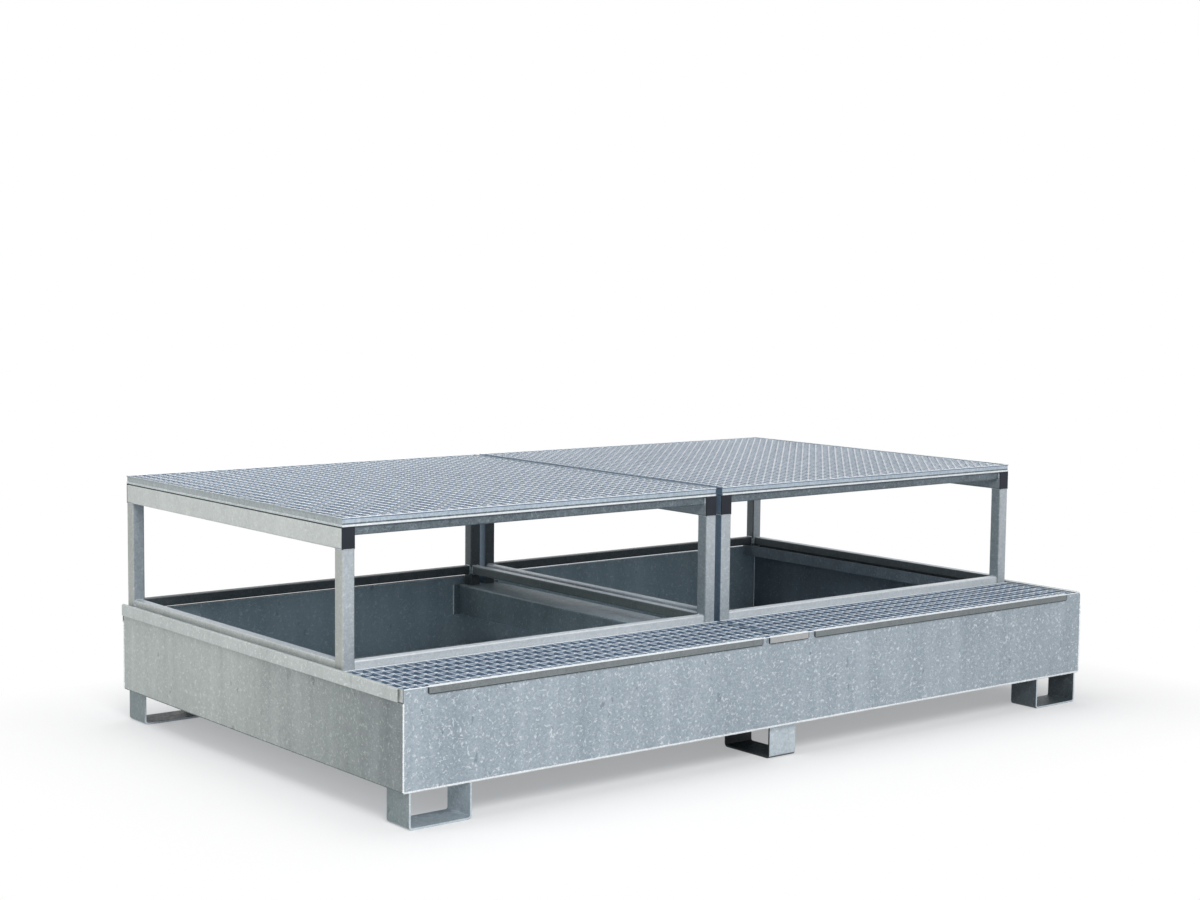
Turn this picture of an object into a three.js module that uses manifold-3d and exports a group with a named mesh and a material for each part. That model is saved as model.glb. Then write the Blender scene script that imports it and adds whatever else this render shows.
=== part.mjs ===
// Spill containment pallet: a galvanised steel sump tray with two dispensing stands and lift-out gratings.
// Millimetres, +Z up, the front faces -Y, and the origin is on the floor in the middle of the footprint.

import * as THREE from 'three';
import { mergeVertices } from 'three/addons/utils/BufferGeometryUtils.js';
import Module from 'manifold-3d';

// Driving dimensions of the sump tray
const trayLength = 2700;
const trayDepth = 1600;
const sheetThickness = 3;
const wallHeight = 270;
const backWallHeight = 248;
const frontCornerRadius = 12;

// Rounded lip that is folded outwards on the side walls and the back wall
const lipStand = 8;
const lipDrop = 36;
const lipRise = 1.5;
const lipFrontSetback = 20;

// Flat strips on the outside of the front wall's rim
const stripHeight = 24;
const stripThickness = 4;
const stripRise = 3;
const stripCornerRadius = 7;
const stripEndSetback = 74;
const middleStripLength = 160;
const stripGap = 25;

// Bent strap feet under the tray
const footHeight = 100;
const footLength = 197;
const footWidth = 105;
const footPlate = 6;
const footBendRadius = 12;
const cornerFootInset = 17;
const middleFootSetback = 18;

// Beam across the middle of the tray and its end plates
const beamWidth = 150;
const beamHeight = 103;
const beamPlate = 4;
const beamBendRadius = 7;
const beamBracketPlate = 4;
const beamBracketMargin = 20;
const beamBracketDrop = 3;
const seatHeight = 218;

// Ledges inside the side walls
const ledgeWidth = 63;
const ledgeLipHeight = 36;
const ledgePlate = 4;

// Angle and cross bearer that carry the front gratings
const frontLedgeWidth = 30;
const frontLedgeDrop = 30;
const frontLedgePlate = 3;
const bearerWidth = 40;
const bearerHeight = 22;
const bearerWall = 2;
const bearerCornerRadius = 3;
const seatEndGap = 2;

// Dispensing stands
const standSetback = 315;
const standBackSetback = 5;
const standSideSetback = 12;
const standSpacing = 22;
const standRise = 372;
const legSize = 40;
const legWall = 3;
const legCornerRadius = 5;
const sideRailWidth = 40;
const sideRailHeight = 60;
const sideRailWall = 3;
const sideRailCornerRadius = 5;
const railSize = 30;
const railWall = 2.5;
const railCornerRadius = 4;
const topRailHeight = 25;
const topRailSetback = 8;
const lowerRailRise = 38;

// Plastic end caps of the top side rails
const capPlate = 4;
const capPlugLength = 18;
const capPlugClearance = 0.5;

// Gratings, with welded bars in a flat edge frame
const gratingHeight = 25;
const gratingBarThickness = 3;
const gratingBarPitch = 33.3;
const crossBarThickness = 4;
const crossBarHeight = 10;
const edgeBarThickness = 4;
const barRecess = 0.5;
const frontGratingClearance = 3;

// The solids carry one cross bar for each of these stretches, not the close rows of the finished gratings
const deckCrossBarStep = 443;
const frontCrossBarStep = 154;

// Gap under each piece that lifts off, and how far a cutting block runs past what it cuts
const seatGap = 0.3;
const cutOverrun = 5;

// Number of straight steps in a rounded corner of a bent plate, a tube and a fold
const bendSteps = 3;
const tubeCornerSteps = 2;
const foldSteps = 8;

// Levels above the floor
const floorTop = footHeight + sheetThickness;
const rimLevel = footHeight + wallHeight;
const backRimLevel = footHeight + backWallHeight;
const seatLevel = footHeight + seatHeight;
const legBottom = seatLevel + seatGap;
const sideRailBottom = legBottom + standRise;
const sideRailTop = sideRailBottom + sideRailHeight;
const lowerRailBottom = legBottom + lowerRailRise;
const bearerTop = seatLevel + bearerHeight;

// Faces of the tray: the strips and the back lip stand out, and the origin is midway between them
const overallDepth = stripThickness + trayDepth + lipStand;
const frontFace = -overallDepth / 2 + stripThickness;
const backFace = frontFace + trayDepth;
const frontInside = frontFace + sheetThickness;
const backInside = backFace - sheetThickness;
const sideFace = trayLength / 2;
const sideInside = sideFace - sheetThickness;

// Faces of the right-hand stand: the left-hand one mirrors it
const standInner = standSpacing / 2;
const standOuter = sideFace - standSideSetback;
const standWidth = standOuter - standInner;
const standDepth = trayDepth - standSetback - standBackSetback;
const standMiddle = (standOuter + standInner) / 2;
const standFront = frontFace + standSetback;
const standBack = standFront + standDepth;
const bearerFront = standFront - frontGratingClearance - bearerWidth;
const beamBracketWidth = beamWidth + 2 * beamBracketMargin;
const hands = [['left', -1], ['right', 1]];

const wasm = await Module();
wasm.setup();

const zinc = new THREE.MeshStandardMaterial({ color: 0x9aa4ab, roughness: 0.5, metalness: 0.6 });
const zincTube = new THREE.MeshStandardMaterial({ color: 0xa9afb1, roughness: 0.5, metalness: 0.6 });
const zincGrating = new THREE.MeshStandardMaterial({ color: 0x8d9cab, roughness: 0.4, metalness: 0.7 });
const zincStrip = new THREE.MeshStandardMaterial({ color: 0x7f8179, roughness: 0.55, metalness: 0.5 });
const blackPlastic = new THREE.MeshStandardMaterial({ color: 0x24262c, roughness: 0.6, metalness: 0 });

const pallet = new THREE.Group();

// Adds one named piece to a group, with its middle at the given place
function addPiece(group, name, geometry, material, x, y, z) {
  const mesh = new THREE.Mesh(geometry, material);
  mesh.name = name;
  mesh.position.set(x, y, z);
  group.add(mesh);
  return mesh;
}

// Closed geometry to solid, for joining and cutting
function toSolid(geometry) {
  const bare = geometry.clone();
  bare.deleteAttribute('normal');
  bare.deleteAttribute('uv');
  const merged = mergeVertices(bare);
  return new wasm.Manifold(new wasm.Mesh({
    numProp: 3,
    vertProperties: new Float32Array(merged.attributes.position.array),
    triVerts: new Uint32Array(merged.index.array),
  }));
}

// Solid back to a geometry with flat faces
function toGeometry(solid) {
  const mesh = solid.getMesh();
  const geometry = new THREE.BufferGeometry();
  geometry.setAttribute('position', new THREE.BufferAttribute(mesh.vertProperties, 3));
  geometry.setIndex(new THREE.BufferAttribute(mesh.triVerts, 1));
  const faceted = geometry.toNonIndexed();
  faceted.computeVertexNormals();
  return faceted;
}

function joined(geometries) {
  return toGeometry(geometries.map(toSolid).reduce((whole, next) => whole.add(next)));
}

function cutBy(geometry, tool) {
  return toGeometry(toSolid(geometry).subtract(toSolid(tool)));
}

// Box with its middle at the given place
function boxAt(sizeX, sizeY, sizeZ, x, y, z) {
  return new THREE.BoxGeometry(sizeX, sizeY, sizeZ).translate(x, y, z);
}

// Extrudes an outline along a direction, centred on the origin: the outline's x and y go to the other two axes
function extrudedAlong(direction, outline, length, steps) {
  const geometry = new THREE.ExtrudeGeometry(outline, {
    depth: length,
    bevelEnabled: false,
    curveSegments: steps,
  });
  geometry.translate(0, 0, -length / 2);
  const turn = new THREE.Matrix4();
  if (direction === 'x') {
    turn.makeBasis(new THREE.Vector3(0, 1, 0), new THREE.Vector3(0, 0, 1), new THREE.Vector3(1, 0, 0));
  }
  if (direction === 'y') {
    turn.makeBasis(new THREE.Vector3(1, 0, 0), new THREE.Vector3(0, 0, 1), new THREE.Vector3(0, -1, 0));
  }
  return geometry.applyMatrix4(turn);
}

// Mirror image of a piece in x, with its faces turned the right way round again
function mirrored(geometry) {
  const image = geometry.index ? geometry.toNonIndexed() : geometry.clone();
  image.scale(-1, 1, 1);
  const position = image.attributes.position;
  const first = new THREE.Vector3();
  const last = new THREE.Vector3();
  for (let corner = 0; corner < position.count; corner += 3) {
    first.fromBufferAttribute(position, corner);
    last.fromBufferAttribute(position, corner + 2);
    position.setXYZ(corner, last.x, last.y, last.z);
    position.setXYZ(corner + 2, first.x, first.y, first.z);
  }
  image.computeVertexNormals();
  return image;
}

// Rectangle round the origin with the same radius at each corner
function roundedRectangle(path, width, height, radius) {
  const right = width / 2;
  const top = height / 2;
  path.moveTo(right, -top + radius);
  path.lineTo(right, top - radius);
  path.absarc(right - radius, top - radius, radius, 0, Math.PI / 2, false);
  path.lineTo(-right + radius, top);
  path.absarc(-right + radius, top - radius, radius, Math.PI / 2, Math.PI, false);
  path.lineTo(-right, -top + radius);
  path.absarc(-right + radius, -top + radius, radius, Math.PI, Math.PI * 1.5, false);
  path.lineTo(right - radius, -top);
  path.absarc(right - radius, -top + radius, radius, Math.PI * 1.5, Math.PI * 2, false);
  return path;
}

// Open-ended tube: width and height are those of the outline
function tube(direction, length, width, height, wall, radius) {
  const outline = roundedRectangle(new THREE.Shape(), width, height, radius);
  const bore = new THREE.Path();
  const boreRight = width / 2 - wall;
  const boreTop = height / 2 - wall;
  bore.moveTo(boreRight, -boreTop);
  bore.lineTo(boreRight, boreTop);
  bore.lineTo(-boreRight, boreTop);
  bore.lineTo(-boreRight, -boreTop);
  bore.closePath();
  outline.holes.push(bore);
  return extrudedAlong(direction, outline, length, tubeCornerSteps);
}

// U of bent plate with its open side up: width and height are outside sizes, the base's underside is at 0
function channelOutline(width, height, plate, bend) {
  const right = width / 2;
  const innerRight = right - plate;
  const innerBend = bend - plate;
  const outline = new THREE.Shape();
  outline.moveTo(-right, height);
  outline.lineTo(-right, bend);
  outline.absarc(-right + bend, bend, bend, Math.PI, Math.PI * 1.5, false);
  outline.lineTo(right - bend, 0);
  outline.absarc(right - bend, bend, bend, -Math.PI / 2, 0, false);
  outline.lineTo(right, height);
  outline.lineTo(innerRight, height);
  outline.lineTo(innerRight, bend);
  outline.absarc(innerRight - innerBend, bend, innerBend, 0, -Math.PI / 2, true);
  outline.lineTo(-innerRight + innerBend, plate);
  outline.absarc(-innerRight + innerBend, bend, innerBend, -Math.PI / 2, -Math.PI, true);
  outline.lineTo(-innerRight, height);
  outline.closePath();
  return outline;
}

// Wall standing on 0 with its outer face at x = 0, folded over outwards at the top into a hanging lip
function lippedWallOutline(height) {
  const foldRadius = (lipStand + sheetThickness) / 2;
  const foldMiddle = lipStand - foldRadius;
  const foldLevel = height - foldRadius;
  const lipBottom = height - lipDrop;
  const outline = new THREE.Shape();
  outline.moveTo(-sheetThickness, 0);
  outline.lineTo(0, 0);
  outline.lineTo(0, foldLevel);
  outline.absarc(foldMiddle, foldLevel, foldRadius - sheetThickness, Math.PI, 0, true);
  outline.lineTo(lipStand - sheetThickness, lipBottom);
  outline.lineTo(lipStand, lipBottom);
  outline.lineTo(lipStand, foldLevel);
  outline.absarc(foldMiddle, foldLevel, foldRadius, 0, Math.PI, false);
  outline.closePath();
  return outline;
}

// Sump tray: the floor plate carries the four walls on its edges
function addTray() {
  const floor = new THREE.BoxGeometry(trayLength, trayDepth, sheetThickness);
  addPiece(pallet, 'tray_floor', floor, zinc, 0, (frontFace + backFace) / 2, footHeight + sheetThickness / 2);

  const frontHeight = rimLevel - floorTop;
  const cornerX = sideFace - frontCornerRadius;
  const cornerZ = frontHeight - frontCornerRadius;
  const front = new THREE.Shape();
  front.moveTo(-sideFace, 0);
  front.lineTo(sideFace, 0);
  front.lineTo(sideFace, cornerZ);
  front.absarc(cornerX, cornerZ, frontCornerRadius, 0, Math.PI / 2, false);
  front.lineTo(-sideFace, frontHeight);
  front.closePath();
  const frontWall = extrudedAlong('y', front, sheetThickness, bendSteps);
  addPiece(pallet, 'tray_wall_front', frontWall, zinc, 0, frontFace + sheetThickness / 2, floorTop);

  const backWall = extrudedAlong('x', lippedWallOutline(backRimLevel - floorTop), trayLength, foldSteps);
  addPiece(pallet, 'tray_wall_back', backWall, zinc, 0, backFace, floorTop);

  const sideLength = backInside - frontInside;
  const sideMiddle = (frontInside + backInside) / 2;
  const sideHeight = rimLevel + lipRise - floorTop;
  const setback = lipFrontSetback - sheetThickness;
  const lipEnd = boxAt(
    lipStand + cutOverrun,
    setback + cutOverrun,
    sideHeight + cutOverrun,
    (lipStand + cutOverrun) / 2,
    (setback - cutOverrun - sideLength) / 2,
    (sideHeight + cutOverrun) / 2,
  );
  const side = extrudedAlong('y', lippedWallOutline(sideHeight), sideLength, foldSteps);
  const rightWall = cutBy(side, lipEnd);
  addPiece(pallet, 'tray_wall_right', rightWall, zinc, sideFace, sideMiddle, floorTop);
  addPiece(pallet, 'tray_wall_left', mirrored(rightWall), zinc, -sideFace, sideMiddle, floorTop);
}

// Strips along the rim of the front wall: a short one in the middle and a long one on each side
function addFrontStrips() {
  const stripLevel = rimLevel + stripRise - stripHeight / 2;
  const innerEnd = middleStripLength / 2 + stripGap;
  const outerEnd = sideFace - stripEndSetback;
  const longLength = outerEnd - innerEnd;
  const longMiddle = (outerEnd + innerEnd) / 2;
  const strips = [
    ['front_strip_left', longLength, -longMiddle],
    ['front_strip_middle', middleStripLength, 0],
    ['front_strip_right', longLength, longMiddle],
  ];
  for (const [name, length, x] of strips) {
    const outline = roundedRectangle(new THREE.Shape(), length, stripHeight, stripCornerRadius);
    const strip = extrudedAlong('y', outline, stripThickness, bendSteps);
    addPiece(pallet, name, strip, zincStrip, x, frontFace - stripThickness / 2, stripLevel);
  }
}

// Six U-shaped feet: the corner ones are open to the front, and the two middle ones to the sides
function addFeet() {
  const outline = channelOutline(footLength, footHeight, footPlate, footBendRadius);
  const cornerX = sideFace - cornerFootInset - footLength / 2;
  const rows = [
    ['front', frontFace + footWidth / 2, frontFace + middleFootSetback + footLength / 2],
    ['back', backFace - footWidth / 2, backFace - middleFootSetback - footLength / 2],
  ];
  for (const [row, cornerY, middleY] of rows) {
    const cornerFoot = extrudedAlong('y', outline, footWidth, bendSteps);
    const middleFoot = extrudedAlong('x', outline, footWidth, bendSteps);
    addPiece(pallet, `foot_${row}_left`, cornerFoot, zinc, -cornerX, cornerY, 0);
    addPiece(pallet, `foot_${row}_middle`, middleFoot, zinc, 0, middleY, 0);
    addPiece(pallet, `foot_${row}_right`, cornerFoot, zinc, cornerX, cornerY, 0);
  }
}

// Beam from front to back, open underneath, with a plate at each end: the inner legs stand on it
function addMiddleBeam() {
  const beamLength = backInside - frontInside - 2 * beamBracketPlate;
  const outline = channelOutline(beamWidth, beamHeight, beamPlate, beamBendRadius);
  const beam = extrudedAlong('y', outline, beamLength, bendSteps).rotateY(Math.PI);
  addPiece(pallet, 'middle_beam', beam, zinc, 0, (frontInside + backInside) / 2, seatLevel);

  const bracketHeight = beamHeight + beamBracketDrop;
  const bracketLevel = seatLevel - bracketHeight / 2;
  const brackets = [
    ['beam_bracket_front', frontInside + beamBracketPlate / 2],
    ['beam_bracket_back', backInside - beamBracketPlate / 2],
  ];
  for (const [name, y] of brackets) {
    const bracket = new THREE.BoxGeometry(beamBracketWidth, beamBracketPlate, bracketHeight);
    addPiece(pallet, name, bracket, zinc, 0, y, bracketLevel);
  }
}

// Side ledges: a flat flange from the wall for the outer legs, with an upright lip at its free edge
function addSideLedges() {
  const outline = new THREE.Shape();
  outline.moveTo(0, -ledgePlate);
  outline.lineTo(ledgeWidth, -ledgePlate);
  outline.lineTo(ledgeWidth, ledgeLipHeight);
  outline.lineTo(ledgeWidth - ledgePlate, ledgeLipHeight);
  outline.lineTo(ledgeWidth - ledgePlate, 0);
  outline.lineTo(0, 0);
  outline.closePath();

  const length = backInside - bearerFront;
  const middle = (bearerFront + backInside) / 2;
  const recess = standFront - bearerFront;
  const lipEnd = boxAt(
    ledgePlate + cutOverrun,
    recess + cutOverrun,
    ledgeLipHeight + cutOverrun,
    ledgeWidth + (cutOverrun - ledgePlate) / 2,
    (recess - cutOverrun - length) / 2,
    (ledgeLipHeight + cutOverrun) / 2,
  );
  const ledge = cutBy(extrudedAlong('y', outline, length, bendSteps), lipEnd);
  addPiece(pallet, 'ledge_left', ledge, zinc, -sideInside, middle, seatLevel);
  addPiece(pallet, 'ledge_right', mirrored(ledge), zinc, sideInside, middle, seatLevel);
}

// Seats of the front gratings: angles on the front wall, and a bearer laid across the ledges and the beam
function addGratingSeats() {
  const outline = new THREE.Shape();
  outline.moveTo(0, 0);
  outline.lineTo(0, -frontLedgeDrop);
  outline.lineTo(frontLedgePlate, -frontLedgeDrop);
  outline.lineTo(frontLedgePlate, -frontLedgePlate);
  outline.lineTo(frontLedgeWidth, -frontLedgePlate);
  outline.lineTo(frontLedgeWidth, 0);
  outline.closePath();

  const innerEnd = beamBracketWidth / 2 + seatEndGap;
  const ledgeLength = sideInside - innerEnd;
  const ledge = extrudedAlong('x', outline, ledgeLength, bendSteps);
  for (const [hand, side] of hands) {
    const ledgeX = side * (innerEnd + ledgeLength / 2);
    addPiece(pallet, `front_ledge_${hand}`, ledge, zinc, ledgeX, frontInside, bearerTop);
  }

  const bearerLength = 2 * (sideInside - seatEndGap);
  const bearer = tube('x', bearerLength, bearerWidth, bearerHeight, bearerWall, bearerCornerRadius);
  const bearerMiddle = bearerFront + bearerWidth / 2;
  addPiece(pallet, 'front_bearer', bearer, zinc, 0, bearerMiddle, seatLevel + bearerHeight / 2);
}

// One dispensing stand in its own group, whose origin is on the floor under the middle of the stand
function addStand(hand, side) {
  const stand = new THREE.Group();
  stand.position.set(side * standMiddle, (standFront + standBack) / 2, 0);
  pallet.add(stand);

  const legX = (standWidth - legSize) / 2;
  const legY = (standDepth - legSize) / 2;
  const legLength = sideRailBottom - legBottom;
  const leg = tube('z', legLength, legSize, legSize, legWall, legCornerRadius);
  const legLevel = legBottom + legLength / 2;

  const sideRailX = (standWidth - sideRailWidth) / 2;
  const sideRailLength = standDepth - 2 * capPlate;
  const sideRail = tube('y', sideRailLength, sideRailWidth, sideRailHeight, sideRailWall, sideRailCornerRadius);
  const sideRailLevel = sideRailBottom + sideRailHeight / 2;

  const lowerSideLength = standDepth - 2 * legSize;
  const lowerSide = tube('y', lowerSideLength, railSize, railSize, railWall, railCornerRadius);
  const lowerLevel = lowerRailBottom + railSize / 2;

  for (const [place, across] of [['outer', side], ['inner', -side]]) {
    addPiece(stand, `stand_${hand}_leg_front_${place}`, leg, zincTube, across * legX, -legY, legLevel);
    addPiece(stand, `stand_${hand}_leg_back_${place}`, leg, zincTube, across * legX, legY, legLevel);
    addPiece(stand, `stand_${hand}_side_rail_${place}`, sideRail, zincTube, across * sideRailX, 0, sideRailLevel);
    addPiece(stand, `stand_${hand}_lower_rail_${place}`, lowerSide, zincTube, across * legX, 0, lowerLevel);
  }

  const topRailLength = standWidth - 2 * sideRailWidth;
  const topRail = tube('x', topRailLength, railSize, topRailHeight, railWall, railCornerRadius);
  const topRailLevel = sideRailTop - topRailHeight / 2;
  const topRailY = (standDepth - railSize) / 2 - topRailSetback;
  const lowerEndLength = standWidth - 2 * legSize;
  const lowerEnd = tube('x', lowerEndLength, railSize, railSize, railWall, railCornerRadius);
  for (const [place, along] of [['front', -1], ['back', 1]]) {
    addPiece(stand, `stand_${hand}_top_rail_${place}`, topRail, zincTube, 0, along * topRailY, topRailLevel);
    addPiece(stand, `stand_${hand}_lower_rail_${place}`, lowerEnd, zincTube, 0, along * legY, lowerLevel);
  }

  const bearerLength = 2 * topRailY - railSize;
  const deckBearer = tube('y', bearerLength, railSize, topRailHeight, railWall, railCornerRadius);
  addPiece(stand, `stand_${hand}_deck_bearer`, deckBearer, zincTube, 0, 0, topRailLevel);

  const frontCap = railCap(-1);
  const backCap = railCap(1);
  const capY = standDepth / 2;
  for (const [place, across] of [['outer', side], ['inner', -side]]) {
    const capX = across * sideRailX;
    addPiece(stand, `stand_${hand}_cap_front_${place}`, frontCap, blackPlastic, capX, -capY, sideRailLevel);
    addPiece(stand, `stand_${hand}_cap_back_${place}`, backCap, blackPlastic, capX, capY, sideRailLevel);
  }
}

// End cap with its outer face at y = 0: a plate over the end of a side rail, and a plug that goes into its bore
function railCap(facing) {
  const plugInset = sideRailWall + capPlugClearance;
  const plugWidth = sideRailWidth - 2 * plugInset;
  const plugHeight = sideRailHeight - 2 * plugInset;
  const capDepth = capPlate + capPlugLength;
  return joined([
    boxAt(sideRailWidth, capPlate, sideRailHeight, 0, -facing * capPlate / 2, 0),
    boxAt(plugWidth, capDepth, plugHeight, 0, -facing * capDepth / 2, 0),
  ]);
}

// Grating centred on the origin: its main bars run along x, a little below the rim of the edge frame,
// and the cross bars lie as far below the main bars' tops
function grating(length, spread, crossBarStep) {
  const cells = Math.round(spread / gratingBarPitch);
  const crossCells = Math.max(2, Math.round(length / crossBarStep));
  const edgeX = (length - edgeBarThickness) / 2;
  const edgeY = (spread - edgeBarThickness) / 2;
  const barLength = length - edgeBarThickness;
  const barHeight = gratingHeight - 2 * barRecess;
  const crossBarLength = spread - edgeBarThickness;
  const crossBarLevel = (barHeight - crossBarHeight) / 2 - barRecess;
  const bars = [];
  for (const end of [-1, 1]) {
    bars.push(boxAt(length, edgeBarThickness, gratingHeight, 0, end * edgeY, 0));
    bars.push(boxAt(edgeBarThickness, crossBarLength, gratingHeight, end * edgeX, 0, 0));
  }
  for (let cell = 1; cell < cells; cell += 1) {
    const y = spread * (cell / cells - 1 / 2);
    bars.push(boxAt(barLength, gratingBarThickness, barHeight, 0, y, 0));
  }
  for (let cell = 1; cell < crossCells; cell += 1) {
    const x = length * (cell / crossCells - 1 / 2);
    bars.push(boxAt(crossBarThickness, crossBarLength, crossBarHeight, x, 0, crossBarLevel));
  }
  return joined(bars);
}

// A deck grating lies on each stand, and a front grating fills the tray in front of it
function addGratings() {
  const deck = grating(standWidth, standDepth, deckCrossBarStep);
  const deckLevel = sideRailTop + seatGap + gratingHeight / 2;
  const deckMiddle = (standFront + standBack) / 2;

  const frontEdge = frontInside + frontGratingClearance;
  const backEdge = standFront - frontGratingClearance;
  const frontWidth = sideInside - 2 * frontGratingClearance;
  const front = grating(backEdge - frontEdge, frontWidth, frontCrossBarStep).rotateZ(Math.PI / 2);
  const frontX = frontGratingClearance + frontWidth / 2;
  const frontLevel = bearerTop + seatGap + gratingHeight / 2;
  for (const [hand, side] of hands) {
    addPiece(pallet, `deck_grating_${hand}`, deck, zincGrating, side * standMiddle, deckMiddle, deckLevel);
    const frontMiddle = (frontEdge + backEdge) / 2;
    addPiece(pallet, `front_grating_${hand}`, front, zincGrating, side * frontX, frontMiddle, frontLevel);
  }
}

addTray();
addFrontStrips();
addFeet();
addMiddleBeam();
addSideLedges();
addGratingSeats();
for (const [hand, side] of hands) {
  addStand(hand, side);
}
addGratings();

export default pallet;
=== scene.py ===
"""Looks of a spill containment pallet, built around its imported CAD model.

Metres, +Z up, the front faces -Y. The CAD nodes keep their shapes and get zinc and plastic materials.
The gratings are rebuilt with all their bars, and weld beads are added to the tray and the stands.
"""

import math

import bmesh
import bpy
import numpy as np
from mathutils import Matrix, Vector


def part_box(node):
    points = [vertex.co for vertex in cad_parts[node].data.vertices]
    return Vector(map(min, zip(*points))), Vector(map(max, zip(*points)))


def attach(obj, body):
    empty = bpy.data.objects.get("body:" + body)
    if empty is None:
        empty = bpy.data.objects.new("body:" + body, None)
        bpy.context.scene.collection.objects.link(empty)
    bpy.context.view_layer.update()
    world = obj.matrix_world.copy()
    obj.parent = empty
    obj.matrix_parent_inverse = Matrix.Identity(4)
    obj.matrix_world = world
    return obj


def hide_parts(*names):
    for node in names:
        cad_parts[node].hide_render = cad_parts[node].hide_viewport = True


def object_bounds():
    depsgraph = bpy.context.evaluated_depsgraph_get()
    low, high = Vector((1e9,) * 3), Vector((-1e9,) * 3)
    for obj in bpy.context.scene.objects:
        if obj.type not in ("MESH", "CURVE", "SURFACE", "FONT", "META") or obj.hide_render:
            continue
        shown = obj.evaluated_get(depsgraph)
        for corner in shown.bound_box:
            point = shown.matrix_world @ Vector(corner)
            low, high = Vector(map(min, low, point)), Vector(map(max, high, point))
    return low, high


# Camera, fitted to the photograph
CAMERA_PLACE = Vector((-4.1860, -5.1355, 1.4616))
CAMERA_HEADING = math.radians(38.6567)
CAMERA_DIP = math.radians(5.2588)
CAMERA_ROLL = math.radians(-0.6116)
CAMERA_LENS = 61.84
CAMERA_SENSOR = 36.0

# Floor, backdrop and light: each lamp has a place, a point it looks at, a size and a power
FLOOR_RADIUS = 60.0
FLOOR_SIDES = 64
FLOOR_COLOUR = (244, 244, 244)
FLOOR_GLOW = (0.32, 1.0)
FLOOR_GLOW_REACH = (0.05, 0.6)
BACKDROP_STRENGTH = 1.0
SKY_COLOUR = (250, 252, 255)
SKY_STRENGTH = 0.31
LAMPS = [
    ("lamp_key", (-3.5, -6.5, 5.5), (0.0, -0.4, 0.3), 3.0, 430.0),
    ("lamp_top", (0.3, 0.8, 5.0), (0.0, 0.0, 0.4), 5.0, 130.0),
    ("lamp_left", (-6.0, 1.5, 3.0), (-1.3, 0.3, 0.3), 2.5, 60.0),
]

# Softened edges of the CAD nodes
EDGE_WIDTH = 0.0007
EDGE_STEPS = 2
EDGE_ANGLE = math.radians(30)
FLAT_WEIGHT = 100
SAME_POINT = 0.00001

# Zinc layers that all zinc finishes share: texture scales are per metre
ZINC_METALLIC = 0.3
CLOUD_SCALE = 3.0
STREAK_SCALE = 16.0
STREAK_STRETCH = (1.0, 1.0, 0.08)
STREAK_LEAN = (0.0, math.radians(-14), 0.0)
MOTTLE_SCALE = 70.0
GRAIN_SCALE = 420.0
STROKE_SCALE = 62.0
STROKE_BEND = 0.9
STROKE_WIDTH = 0.05
STROKE_DETAIL = 1.0
STROKE_PATCH_SCALE = 95.0
STROKE_PATCH_RANGE = (0.50, 0.58)
SCRATCH_SCALE = 38.0
SCRATCH_STRETCH = (1.0, 1.0, 0.5)
SCRATCH_RANGE = (0.68, 0.71)
SHADE_RANGE = (-0.6, 1.2)
LAYER_DETAIL = 4.0
CLOUD_STRENGTH = 0.5
MOTTLE_STRENGTH = 0.35
GLOSS_RANGE = (0.3, 0.7)
BUMP_STRENGTH = 0.25
BUMP_DISTANCE = 0.0003

# Zinc finishes: strengths of the layers, and colours as they are seen
TRAY_ZINC = {
    "dark": (126, 139, 149),
    "light": (182, 193, 202),
    "fleck": (236, 242, 245),
    "spangle": 0.004,
    "grain": 0.35,
    "strokes": 0.6,
    "streaks": 0.8,
    "scratches": 0.4,
    "gloss": (0.42, 0.60),
}
TUBE_ZINC = {
    "dark": (150, 160, 167),
    "light": (198, 205, 210),
    "fleck": (232, 238, 241),
    "spangle": 0.005,
    "grain": 0.3,
    "strokes": 0.35,
    "streaks": 0.35,
    "scratches": 0.15,
    "gloss": (0.38, 0.56),
}
STRIP_ZINC = {
    "dark": (98, 104, 105),
    "light": (138, 145, 147),
    "fleck": (166, 174, 176),
    "spangle": 0.004,
    "grain": 0.35,
    "strokes": 0.15,
    "streaks": 0.3,
    "scratches": 0.1,
    "gloss": (0.45, 0.65),
}
FOOT_ZINC = {
    "dark": (134, 147, 155),
    "light": (190, 202, 209),
    "fleck": (230, 236, 240),
    "spangle": 0.006,
    "grain": 0.4,
    "strokes": 0.4,
    "streaks": 0.4,
    "scratches": 0.3,
    "gloss": (0.42, 0.62),
}
GRATING_ZINC = {
    "dark": (156, 174, 190),
    "light": (214, 226, 238),
    "fleck": (252, 254, 255),
    "spangle": 0.006,
    "grain": 0.5,
    "strokes": 0.3,
    "streaks": 0.1,
    "scratches": 0.0,
    "gloss": (0.30, 0.48),
}
WELD_ZINC = {
    "dark": (206, 212, 215),
    "light": (246, 248, 249),
    "fleck": (255, 255, 255),
    "spangle": 0.004,
    "grain": 0.6,
    "strokes": 0.3,
    "streaks": 0.1,
    "scratches": 0.0,
    "gloss": (0.36, 0.52),
}

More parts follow.
